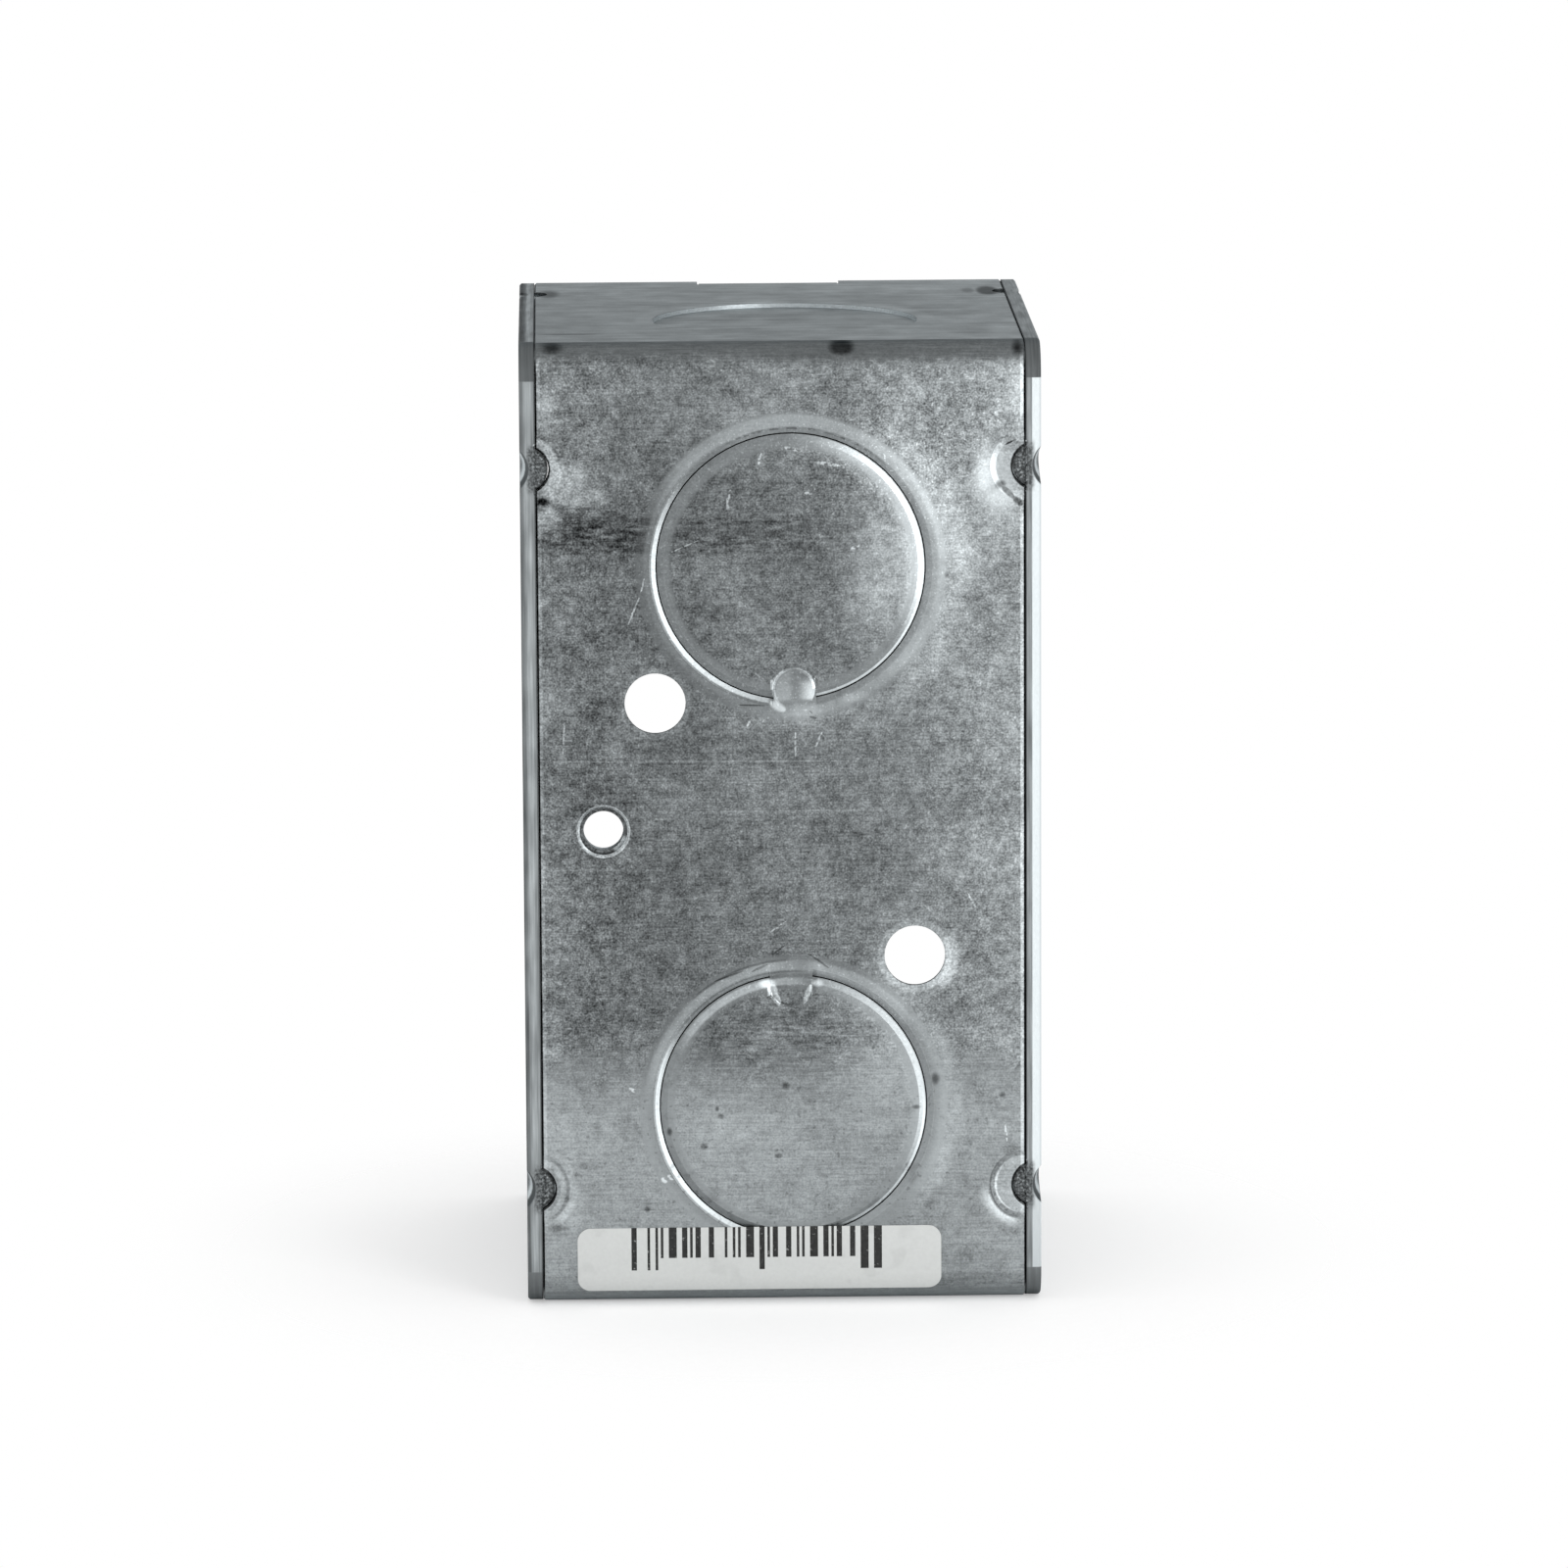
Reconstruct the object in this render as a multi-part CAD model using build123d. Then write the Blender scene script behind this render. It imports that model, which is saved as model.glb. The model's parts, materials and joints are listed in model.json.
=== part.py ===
from build123d import *
import math
import os

# A steel handy box for one electrical device, standing on its bottom end.
# X runs across the box, Y from the closed back to the open front, Z up its long side.
# The origin is the middle of the bottom end's outer face. All sizes are in millimetres.

# Box and sheet
box_height = 101.6
box_width = 54.0
box_depth = 54.0
sheet = 1.59
bend_inside_radius = 1.6
seam_gap = 0.02
strip_edge_bevel = 0.22
plate_edge_bevel = 0.2
plate_corner_clearance = 0.4
plate_front_corner_radius = 0.6

# Knockouts: the slug's edge, the grooves that free it and the tie that holds it
knockout_radius = 13.97
knockout_spacing = 57.15
knockout_shift_across = 1.0
knockout_shift_down = 1.0
knockout_from_back = 20.3
groove_bevel_width = 0.75
groove_bevel_depth = 0.28
groove_slit_width = 0.14
groove_web = 0.29
inner_groove_half_width = 0.45
inner_groove_depth = 0.35
tie_groove_half_width = 0.3
tie_groove_depth = 0.12
tie_width = 4.4
tie_length = 3.3
upper_tie_lean = 1.5
lower_tie_lean = 0.7
slug_sink = 0.45

# Round holes in the back
mounting_hole_radius = 3.175
mounting_hole_land = 0.5
mounting_hole_widening = 0.28
mounting_hole_pitch = 38.1
mounting_hole_shift_across = 0.3
hole_shift_down = 0.15
ground_hole_radius = 2.08
ground_hole_from_centre = 18.65
ground_lip_width = 0.25
ground_lip_depth = 0.2
ground_step_width = 0.37
ground_step_depth = 0.55
ground_collar_radius = 3.3
ground_collar_height = 0.5

# Ends at the open front, and their tongues for the device screws
end_edge_setback = 0.4
device_screw_spacing = 83.3
device_screw_hole_radius = 1.36
tongue_width = 15.0
tongue_beyond_screw = 4.6
tongue_corner_radius = 3.0
tongue_bend_inside_radius = 0.7
tongue_relief_width = 0.2
tongue_relief_past_bend = 0.5

# Stakes that lock the side plates into half-round notches of the strip
back_stake_spacing = 76.2
end_stake_from_front = 10.5
stake_notch_radius = 2.4
stake_notch_depth = 1.38
stake_clearance = 0.08
stake_sink = 0.45
stake_root = 0.3
stake_dent_radius = 2.75
stake_dent_depth = 0.95
stake_dent_length = 5.5
dish_rim_radius = 3.7
dish_floor_radius = 3.1
dish_depth = 0.14

# Sticker low on the back
label_width = 38.2
label_centre_x = -2.65
label_top = 8.3
label_thickness = 0.1
label_corner_radius = 1.4
label_wrap_angle = 31.0

# Places worked out from the sizes above
back_y = -box_depth / 2
front_y = box_depth / 2
middle_z = box_height / 2
bend_outside_radius = bend_inside_radius + sheet
plate_inner_x = box_width / 2 - sheet
strip_width = 2 * (plate_inner_x - seam_gap)
knockout_middle_z = middle_z - knockout_shift_down
hole_middle_z = middle_z - hole_shift_down
groove_slit_depth = sheet - inner_groove_depth - groove_web
tongue_relief_depth = tongue_bend_inside_radius + sheet + tongue_relief_past_bend
stake_centre_x = stake_notch_radius - stake_notch_depth - seam_gap

# How far a cutter reaches past the metal that it cuts
past = 0.2


def back_frame(x, z):
    """Frame on the back's outer face: x across, y up, z outward."""
    return Plane(origin=(x, back_y, z), x_dir=(1, 0, 0), z_dir=(0, -1, 0))


def end_frame(x, y, up):
    """Frame on an end's outer face, z outward: up is 1 for the top, -1 for the bottom."""
    return Plane(origin=(x, y, middle_z + up * box_height / 2), x_dir=(1, 0, 0), z_dir=(0, 0, up))


def plate_frame(side, y, z):
    """Frame on a side plate's outer face, y up, z outward: side is 1 for the right."""
    return Plane(origin=(side * box_width / 2, y, z), x_dir=(0, side, 0), z_dir=(side, 0, 0))


def back_stakes(side):
    """Frames of one plate's stakes on the back.

    The origin is on the plate's inner face, x points outward and z off the strip.
    """
    x = side * plate_inner_x
    return [
        Plane(origin=(x, back_y, z), x_dir=(side, 0, 0), z_dir=(0, -1, 0))
        for z in (hole_middle_z + back_stake_spacing / 2, hole_middle_z - back_stake_spacing / 2)
    ]


def end_stakes(side):
    """Frames of one plate's stakes on the ends, laid out as those on the back."""
    point_x = side * plate_inner_x
    point_y = front_y - end_stake_from_front
    return [
        Plane(origin=(point_x, point_y, end_z), x_dir=(side, 0, 0), z_dir=(0, 0, up))
        for end_z, up in ((box_height, 1), (0, -1))
    ]


def folded(section, points, inside_radius):
    """A sheet section carried along (y, z) points with a bend at each corner."""
    path = Plane.YZ * FilletPolyline(*points, radius=inside_radius + sheet / 2)
    start = Plane(origin=path @ 0, x_dir=(1, 0, 0), z_dir=path % 0)
    return sweep(start * section, path)


def turned(points, arc=360):
    """A solid turned about Z from (radius, height) points."""
    return revolve(Plane.XZ * Polygon(*points, align=None), Axis.Z, arc)


def tie_vee(offset):
    """Points of the shallow V round a tie's tongue."""
    return [
        (offset - tie_groove_half_width, past),
        (offset + tie_groove_half_width, past),
        (offset + tie_groove_half_width, 0),
        (offset, -tie_groove_depth),
        (offset - tie_groove_half_width, 0),
    ]


def tie_groove():
    """The V that outlines the tongue reaching from the sheet into the slug, towards -X."""
    tip_radius = tie_width / 2
    tip_x = knockout_radius - tie_length + tip_radius
    groove = Pos(tip_x, 0) * Rot(Z=90) * turned(tie_vee(tip_radius), 180)
    for side in (1, -1):
        section = Plane.YZ.offset(tip_x) * Polygon(*tie_vee(side * tip_radius), align=None)
        groove += extrude(section, knockout_radius - tip_x)
    return groove


def flush_knockout(tie_direction):
    """All that is cut round a slug that lies flush, on a frame at its centre.

    A bevelled groove with a narrow slit runs round the outer face and a plain V round the
    inner one. A thin web is left between them, and both stop at the tie.
    """
    outer = [
        (knockout_radius - groove_bevel_width, past),
        (knockout_radius + groove_bevel_width, past),
        (knockout_radius + groove_bevel_width, 0),
        (knockout_radius + groove_slit_width / 2, -groove_bevel_depth),
        (knockout_radius, -groove_slit_depth),
        (knockout_radius - groove_slit_width / 2, -groove_bevel_depth),
        (knockout_radius - groove_bevel_width, 0),
    ]
    inner = [
        (knockout_radius - inner_groove_half_width, -sheet - past),
        (knockout_radius + inner_groove_half_width, -sheet - past),
        (knockout_radius + inner_groove_half_width, -sheet),
        (knockout_radius, -sheet + inner_groove_depth),
        (knockout_radius - inner_groove_half_width, -sheet),
    ]
    half_tie = math.degrees(math.asin(tie_width / 2 / knockout_radius))
    run = 360 - 2 * half_tie
    grooves = Rot(Z=half_tie) * (turned(outer, run) + turned(inner, run))
    return Rot(Z=tie_direction) * (grooves + tie_groove())


def pushed_in(tie_direction, depth):
    """The disc, less its tie, that a slug pushed inwards leaves or fills, its top at a depth."""
    tip_x = knockout_radius - tie_length + tie_width / 2
    disc = Cylinder(knockout_radius, slug_sink)
    disc -= Pos(tip_x, 0) * Cylinder(tie_width / 2, slug_sink)
    disc -= Pos(tip_x + knockout_radius / 2, 0) * Box(knockout_radius, tie_width, slug_sink)
    return Pos(0, 0, -depth - slug_sink / 2) * Rot(Z=tie_direction) * disc


def back_knockouts():
    """The two knockouts of the back, their ties facing the middle."""
    upper = back_frame(knockout_shift_across, knockout_middle_z + knockout_spacing / 2)
    lower = back_frame(knockout_shift_across, knockout_middle_z - knockout_spacing / 2)
    return [
        upper * flush_knockout(-90 + upper_tie_lean),
        lower * flush_knockout(90 + lower_tie_lean),
    ]


def end_knockouts(depth):
    """The pushed-in disc of each end's knockout at a depth, its tie towards the back."""
    y = back_y + knockout_from_back
    return [
        end_frame(knockout_shift_across, y, up) * pushed_in(-90 * up, depth) for up in (1, -1)
    ]


def plate_knockouts(side, depth):
    """The pushed-in discs of one plate's knockouts at a depth, their ties facing the middle."""
    y = back_y + knockout_from_back
    return [
        plate_frame(side, y, middle_z + up * knockout_spacing / 2) * pushed_in(-90 * up, depth)
        for up in (1, -1)
    ]


def mounting_holes():
    """Two punched holes on a 45 degree diagonal, upper left and lower right.

    Each widens inwards behind a short land, as the punch breaks out.
    """
    reach = mounting_hole_pitch / 2 / math.sqrt(2)
    profile = [
        (0, past),
        (mounting_hole_radius, past),
        (mounting_hole_radius, -mounting_hole_land),
        (mounting_hole_radius + mounting_hole_widening, -sheet),
        (mounting_hole_radius + mounting_hole_widening, -sheet - past),
        (0, -sheet - past),
    ]
    hole = turned(profile)
    return [
        back_frame(mounting_hole_shift_across - up * reach, hole_middle_z + up * reach) * hole
        for up in (1, -1)
    ]


def ground_collar():
    """The metal drawn inwards round the ground hole."""
    height = ground_collar_height + sheet / 2
    frame = back_frame(-ground_hole_from_centre, hole_middle_z)
    return frame * Pos(0, 0, -sheet / 2 - height / 2) * Cylinder(ground_collar_radius, height)


def ground_hole():
    """The hole through the collar: a bevelled lip, a wider step and the bore for the thread."""
    foot = -sheet - ground_collar_height - past
    step_radius = ground_hole_radius + ground_step_width
    lip_radius = step_radius + ground_lip_width
    profile = [
        (0, past),
        (lip_radius, past),
        (lip_radius, 0),
        (step_radius, -ground_lip_depth),
        (step_radius, -ground_step_depth),
        (ground_hole_radius, -ground_step_depth),
        (ground_hole_radius, foot),
        (0, foot),
    ]
    return back_frame(-ground_hole_from_centre, hole_middle_z) * turned(profile)


def tongue(up):
    """The bent-in tongue of one end, with its screw hole: up is 1 for the top."""
    end_z = middle_z + up * (box_height - sheet) / 2
    tip_z = middle_z + up * (device_screw_spacing / 2 - tongue_beyond_screw)
    face_y = front_y - sheet / 2
    root_y = front_y - tongue_relief_depth - sheet
    points = [(root_y, end_z), (face_y, end_z), (face_y, tip_z)]
    strip = folded(Rectangle(tongue_width, sheet), points, tongue_bend_inside_radius)
    tip_corners = strip.edges().filter_by(Axis.Y).sort_by(Axis.Z)
    strip = fillet(tip_corners[:2] if up > 0 else tip_corners[-2:], tongue_corner_radius)
    screw_point = (0, face_y, middle_z + up * device_screw_spacing / 2)
    return strip - Plane(origin=screw_point, z_dir=(0, 1, 0)) * Cylinder(
        device_screw_hole_radius, 2 * sheet
    )


def tongue_relief(up):
    """What an end loses for its tongue: the tongue's width and a slit at each side."""
    width = tongue_width + 2 * tongue_relief_width
    depth = tongue_relief_depth + past
    end_z = middle_z + up * (box_height - sheet) / 2
    return Pos(0, front_y + past - depth / 2, end_z) * Box(width, depth, sheet + 2 * past)


def stake_notch():
    """The half-round notch in the strip's edge."""
    return Pos(stake_centre_x, 0, -sheet / 2) * Cylinder(stake_notch_radius, sheet + 2 * past)


def stake_dish():
    """The shallow dish that the staking tool presses round a notch of the back."""
    rim_slope = (dish_rim_radius - dish_floor_radius) / dish_depth
    return Pos(0, 0, (past - dish_depth) / 2) * Cone(
        dish_floor_radius, dish_rim_radius + rim_slope * past, dish_depth + past
    )


def stake_dent():
    """The tapering dent that staking leaves in the plate's outer face."""
    dent_x = sheet + stake_dent_radius - stake_dent_depth
    slope = stake_dent_depth / stake_dent_length
    return Pos(dent_x, 0, (past - stake_dent_length) / 2) * Cone(
        stake_dent_radius - stake_dent_depth,
        stake_dent_radius + slope * past,
        stake_dent_length + past,
    )


def stake_boss():
    """The plate's metal driven into the strip's notch, sunk below the strip's face."""
    height = sheet - stake_sink
    disc = Pos(stake_centre_x, 0, -stake_sink - height / 2) * Cylinder(
        stake_notch_radius - stake_clearance, height
    )
    reach = 2 * stake_notch_radius
    kept = Pos(stake_root - reach / 2, 0, -sheet / 2) * Box(reach, reach, 2 * sheet)
    return disc & kept


def back_and_ends():
    """The folded strip: the back and both ends, with their tongues and holes."""
    section = Rectangle(strip_width, sheet)
    section = chamfer(section.vertices().sort_by(Axis.Y)[-2:], strip_edge_bevel)
    top_z = box_height - sheet / 2
    bottom_z = sheet / 2
    back = back_y + sheet / 2
    edge_y = front_y - end_edge_setback
    points = [(edge_y, top_z), (back, top_z), (back, bottom_z), (edge_y, bottom_z)]
    strip = folded(section, points, bend_inside_radius)
    for up in (1, -1):
        strip -= tongue_relief(up)
        strip += tongue(up)
    strip += ground_collar()
    strip -= [ground_hole(), *mounting_holes(), *back_knockouts(), *end_knockouts(0)]
    strip += end_knockouts(sheet)
    for side in (1, -1):
        strip -= [frame * stake_notch() for frame in back_stakes(side) + end_stakes(side)]
        strip -= [frame * stake_dish() for frame in back_stakes(side)]
    return strip


def side_plate(side):
    """A flat side with two knockouts, staked at four places: side is 1 for the right."""
    outline = Rectangle(box_depth, box_height)
    outline = fillet(
        outline.vertices().sort_by(Axis.X)[:2], bend_outside_radius + plate_corner_clearance
    )
    outline = fillet(outline.vertices().sort_by(Axis.X)[-2:], plate_front_corner_radius)
    inner_face = Plane(origin=(side * plate_inner_x, 0, middle_z), x_dir=(0, 1, 0), z_dir=(1, 0, 0))
    plate = extrude(inner_face * outline, side * sheet)
    outer_face = plate.faces().sort_by(Axis.X)[-1 if side > 0 else 0]
    plate = chamfer(outer_face.edges(), plate_edge_bevel)
    plate -= plate_knockouts(side, 0)
    plate += plate_knockouts(side, sheet)
    for frame in back_stakes(side) + end_stakes(side):
        plate -= frame * stake_dent()
        plate += frame * stake_boss()
    return plate


def barcode_label():
    """A sticker of even thickness that follows the back and part of the lower bend."""
    face_y = back_y - label_thickness / 2
    radius = bend_outside_radius + label_thickness / 2
    straight = Line((face_y, label_top), (face_y, bend_outside_radius))
    curved = JernArc(straight @ 1, straight % 1, radius, label_wrap_angle)
    path = Plane.YZ * (straight + curved)
    start = Plane(origin=(label_centre_x, face_y, label_top), x_dir=(1, 0, 0), z_dir=(0, 0, -1))
    paper = sweep(start * Rectangle(label_width, label_thickness), path)
    box = paper.bounding_box()
    outline = RectangleRounded(label_width, box.size.Z, label_corner_radius)
    window = extrude(
        back_frame(label_centre_x, box.center().Z) * outline, bend_outside_radius, both=True
    )
    return paper & window


os.makedirs("parts", exist_ok=True)
export_step(back_and_ends(), "parts/back_and_ends.step")
export_step(side_plate(-1), "parts/side_plate_left.step")
export_step(side_plate(1), "parts/side_plate_right.step")
export_step(barcode_label(), "parts/barcode_label.step")
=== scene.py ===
import bpy
import json
import math
from mathutils import Matrix, Vector


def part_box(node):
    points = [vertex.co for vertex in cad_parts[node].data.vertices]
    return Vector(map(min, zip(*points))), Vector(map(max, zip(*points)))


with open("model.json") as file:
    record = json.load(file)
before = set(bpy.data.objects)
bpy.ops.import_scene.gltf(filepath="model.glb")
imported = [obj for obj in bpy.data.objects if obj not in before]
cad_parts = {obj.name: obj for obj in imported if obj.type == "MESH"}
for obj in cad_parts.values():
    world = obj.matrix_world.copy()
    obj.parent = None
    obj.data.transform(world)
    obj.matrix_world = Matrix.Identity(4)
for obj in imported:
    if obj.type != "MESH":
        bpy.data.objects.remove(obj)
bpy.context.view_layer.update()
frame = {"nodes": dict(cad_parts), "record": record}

# The box, in millimetres in the frame's own axes: X across, Y from back to front, Z up
millimetres = 1000.0
strip_low, strip_high = [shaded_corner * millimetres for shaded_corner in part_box("back_and_ends")]
right_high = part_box("side_plate_right")[1] * millimetres
mounts = {m["name"]: Vector(m["pos_m"]) * millimetres for m in frame["record"]["mounts"]}
sheet = 1.59
back_y = strip_low.y
top_z = strip_high.z
middle_z = top_z / 2
half_strip = strip_high.x
half_box = right_high.x
plate_inner_x = half_box - sheet
bend_radius = 3.19
slug_radius = 13.97
tie_tip_radius = 2.2
upper_slug = mounts["back_knockout_upper"]
lower_slug = mounts["back_knockout_lower"]
top_slug = mounts["top_knockout"]
ground_hole = mounts["ground_hole"]
mounting_holes = mounts["mounting_holes"]
hole_pitch = 38.1
hole_reach = hole_pitch / 2 / math.sqrt(2)
stake_middle_z = mounting_holes.z
stake_half_spacing = 38.1
notch_offset = 1.0
notch_centre_x = plate_inner_x + notch_offset
notch_radius = 2.4

# Camera, fitted to the photograph
image_size = 1600
sensor_width = 36.0
focal_pixels = 9368.4
camera_azimuth = math.radians(-1.4206)
camera_elevation = math.radians(10.1478)
camera_roll = math.radians(-0.3054)
camera_distance = 0.955916
camera_target = Vector((0.185, back_y, 55.506)) / millimetres


class Signal:
    """A value carried by a node's output, so that masks are written as plain arithmetic."""

    def __init__(self, tree, socket):
        self.tree = tree
        self.socket = socket

    def __add__(self, other):
        return calculate("ADD", self, other)

    def __radd__(self, other):
        return calculate("ADD", self, other)

    def __sub__(self, other):
        return calculate("SUBTRACT", self, other)

    def __rsub__(self, other):
        return calculate("SUBTRACT", other, self)

    def __mul__(self, other):
        return calculate("MULTIPLY", self, other)

    def __rmul__(self, other):
        return calculate("MULTIPLY", self, other)

    def __truediv__(self, other):
        return calculate("DIVIDE", self, other)

    def __abs__(self):
        return calculate("ABSOLUTE", self)


def plug(tree, value, socket):
    """Puts a signal or a fixed value into a socket."""
    if isinstance(value, Signal):
        tree.links.new(value.socket, socket)
    else:
        socket.default_value = value


def tree_of(values):
    """The node tree that the signals among some values belong to."""
    return next(value.tree for value in values if isinstance(value, Signal))


def calculate(operation, *values):
    """One math node on signals and numbers."""
    tree = tree_of(values)
    node = tree.nodes.new("ShaderNodeMath")
    node.operation = operation
    for value, socket in zip(values, node.inputs):
        plug(tree, value, socket)
    return Signal(tree, node.outputs[0])


def reckon(operation, *values):
    """One vector math node on signals and fixed vectors."""
    tree = tree_of(values)
    node = tree.nodes.new("ShaderNodeVectorMath")
    node.operation = operation
    for value, socket in zip(values, node.inputs):
        plug(tree, value, socket)
    gives_number = operation in ("LENGTH", "DISTANCE", "DOT_PRODUCT")
    return Signal(tree, node.outputs["Value" if gives_number else "Vector"])


def fade(value, start, end):
    """Rises smoothly from 0 at start to 1 at end, which may lie on either side of start."""
    node = value.tree.nodes.new("ShaderNodeMapRange")
    node.interpolation_type = "SMOOTHSTEP"
    plug(value.tree, value, node.inputs["Value"])
    plug(value.tree, start, node.inputs["From Min"])
    plug(value.tree, end, node.inputs["From Max"])
    return Signal(value.tree, node.outputs["Result"])


def band(value, centre, half_width, softness):
    """1 within half_width of the centre, fading to 0 over softness beyond."""
    return fade(abs(value - centre), half_width + softness, half_width)


def mix(first, second, share):
    """Goes from the first value at share 0 to the second at share 1."""
    node = share.tree.nodes.new("ShaderNodeMix")
    for name, value in (("Factor", share), ("A", first), ("B", second)):
        plug(share.tree, value, node.inputs[name])
    return Signal(share.tree, node.outputs["Result"])


def most(*values):
    """The largest of some signals."""
    return gathered(values)


def gathered(values):
    """The largest of signals made one by one, so that a renderer holds few at once."""
    largest = 0
    for value in values:
        largest = calculate("MAXIMUM", value, largest)
    return largest


def combine(x, y, z):
    """A vector from three signals or numbers."""
    tree = tree_of((x, y, z))
    node = tree.nodes.new("ShaderNodeCombineXYZ")
    for value, socket in zip((x, y, z), node.inputs):
        plug(tree, value, socket)
    return Signal(tree, node.outputs[0])


class Place:
    """Where a shaded point is, in millimetres in the frame's axes."""

    def __init__(self, tree):
        coordinates = tree.nodes.new("ShaderNodeTexCoord")
        self.tree = tree
        metres = Signal(tree, coordinates.outputs["Object"])
        self.point = reckon("MULTIPLY", metres, (millimetres,) * 3)
        self.flat = reckon("MULTIPLY", metres, (millimetres, 0, millimetres))
        parts = tree.nodes.new("ShaderNodeSeparateXYZ")
        tree.links.new(self.point.socket, parts.inputs[0])
        self.x, self.y, self.z = [Signal(tree, part) for part in parts.outputs]
        self.depth = self.y - back_y

    def grain(self, size, detail=1.0, stretch=(1, 1, 1), shift=0.0, roughness=0.5):
        """Noise about 0 whose lumps measure about size millimetres, drawn out by stretch.

        Its usual swing is about 1 either way.
        """
        usual_swing = 0.08
        density = [1 / (size * factor) for factor in stretch]
        node = self.tree.nodes.new("ShaderNodeTexNoise")
        lumps = reckon("MULTIPLY_ADD", self.point, density, (shift,) * 3)
        plug(self.tree, lumps, node.inputs["Vector"])
        node.inputs["Scale"].default_value = 1.0
        node.inputs["Detail"].default_value = detail
        node.inputs["Roughness"].default_value = roughness
        noise = Signal(self.tree, node.outputs[0])
        return calculate("MULTIPLY_ADD", noise, 1 / usual_swing, -0.5 / usual_swing)

    def spot(self, x, z, half_width, half_height, softness=1.0):
        """1 at a point of the back, fading to 0 at the edge of an ellipse round it."""
        density = (1 / half_width, 0, 1 / half_height)
        shift = (-x / half_width, 0, -z / half_height)
        reach = reckon("LENGTH", reckon("MULTIPLY_ADD", self.point, density, shift))
        return fade(reach, 1, 1 - softness)

    def end_spot(self, x, depth, half_width, half_depth, softness=0.7):
        """The same on an end, at a depth from the back's face."""
        density = (1 / half_width, 1 / half_depth, 0)
        shift = (-x / half_width, -(depth + back_y) / half_depth, 0)
        reach = reckon("LENGTH", reckon("MULTIPLY_ADD", self.point, density, shift))
        return fade(reach, 1, 1 - softness)

    def stroke(self, start, end, half_width, softness=0.7):
        """1 along a straight line on the back, fading to 0 at a slim ellipse round it.

        The ellipse is where the distances to the line's two ends have a fixed sum.
        """
        start = Vector((start[0], 0, start[1]))
        end = Vector((end[0], 0, end[1]))
        length = (end - start).length
        reach = reckon("DISTANCE", self.flat, start) + reckon("DISTANCE", self.flat, end)
        edge = math.hypot(length, 2 * half_width)
        core = math.hypot(length, 2 * half_width * (1 - softness))
        return fade(reach, edge, core)

    def ring(self, x, z):
        """The ring marks round a point of the back."""
        return Ring(reckon("MULTIPLY_ADD", self.point, (1, 0, 1), (-x, 0, -z)))


class Ring:
    """Distance and direction from a centre, for marks that follow a circle."""

    def __init__(self, away):
        self.radius = reckon("LENGTH", away)
        self.heading = reckon("NORMALIZE", away)

    def at(self, radius, half_width, softness):
        """1 near a radius, fading to 0 over softness beyond half_width."""
        return band(self.radius, radius, half_width, softness)

    def towards(self, degrees, full, none):
        """1 within some degrees of a direction (0 right, 90 up), fading to 0 at more."""
        angle = math.radians(degrees)
        facing = reckon("DOT_PRODUCT", self.heading, (math.cos(angle), 0, math.sin(angle)))
        return fade(facing, math.cos(math.radians(none)), math.cos(math.radians(full)))

    def arc(self, radius, half_width, softness, degrees, full, none):
        """A ring's part towards a direction."""
        return self.at(radius, half_width, softness) * self.towards(degrees, full, none)


def new_material(name):
    """An empty node material with its output node."""
    material = bpy.data.materials.new(name)
    material.use_nodes = True
    material.node_tree.nodes.clear()
    output = material.node_tree.nodes.new("ShaderNodeOutputMaterial")
    return material, material.node_tree, output


def tinted(level, tint):
    """The colour of a grey level, from 0 for black to 255 for white, with a tint."""
    darkest, white, gamma = 8, 255, 2.2
    tone = calculate("POWER", calculate("MAXIMUM", level, darkest) / white, gamma)
    return reckon("MULTIPLY", tone, tint)


def coat(output, colour, height, settings):
    """The surface shader, with a colour, a bump height in millimetres and other settings."""
    tree = colour.tree
    shader = tree.nodes.new("ShaderNodeBsdfPrincipled")
    plug(tree, colour, shader.inputs["Base Color"])
    for name, value in settings.items():
        plug(tree, value, shader.inputs[name])
    bump = tree.nodes.new("ShaderNodeBump")
    bump.inputs["Strength"].default_value = 1.0
    bump.inputs["Distance"].default_value = 1.0 / millimetres
    plug(tree, height, bump.inputs["Height"])
    tree.links.new(bump.outputs["Normal"], shader.inputs["Normal"])
    tree.links.new(shader.outputs[0], output.inputs["Surface"])


def steel(name, surface):
    """Galvanized steel, whose surface function gives its grey level and its roughness."""
    face_tint = (0.93, 1.0, 1.025)
    grazing_tint = (0.45, 0.47, 0.48, 1.0)
    spangle_height = 0.0011
    material, tree, output = new_material(name)
    place = Place(tree)
    level, roughness = surface(place)
    height = spangle_height * place.grain(0.5, shift=5.0)
    settings = {"Metallic": 1.0, "Specular Tint": grazing_tint, "Roughness": roughness}
    coat(output, tinted(level, face_tint), height, settings)
    return material


zinc_roughness = 0.42


def zinc(place):
    """The coating's own variation in grey levels: worm-like grain, spots and clouds."""
    fine = place.grain(0.2, detail=0.0)
    lumps = place.grain(0.42, detail=2.0, roughness=0.65, shift=5.0)
    spots = place.grain(1.3, shift=9.0)
    clouds = place.grain(6.0, shift=3.0)
    return 6.5 * fine + 8.0 * lumps + 5.5 * spots + 3.5 * clouds


def rolled(place):
    """Fine lines along X that rolling leaves, in grey levels."""
    lines = place.grain(0.16, stretch=(60, 1, 1), shift=11.0)
    dashes = place.grain(0.22, stretch=(8, 1, 1), shift=17.0)
    return 2.2 * lines + 2.2 * dashes


def add_spots(place, level, spots):
    """Adds soft spots to a level. Each is a strength in grey levels and a spot's values."""
    for strength, *shape in spots:
        level = level + strength * place.spot(*shape)
    return level


def add_arcs(ring, level, arcs):
    """Adds arcs of a ring to a level. Each is a strength in grey levels and an arc's values."""
    for strength, *shape in arcs:
        level = level + strength * ring.arc(*shape)
    return level


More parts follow.
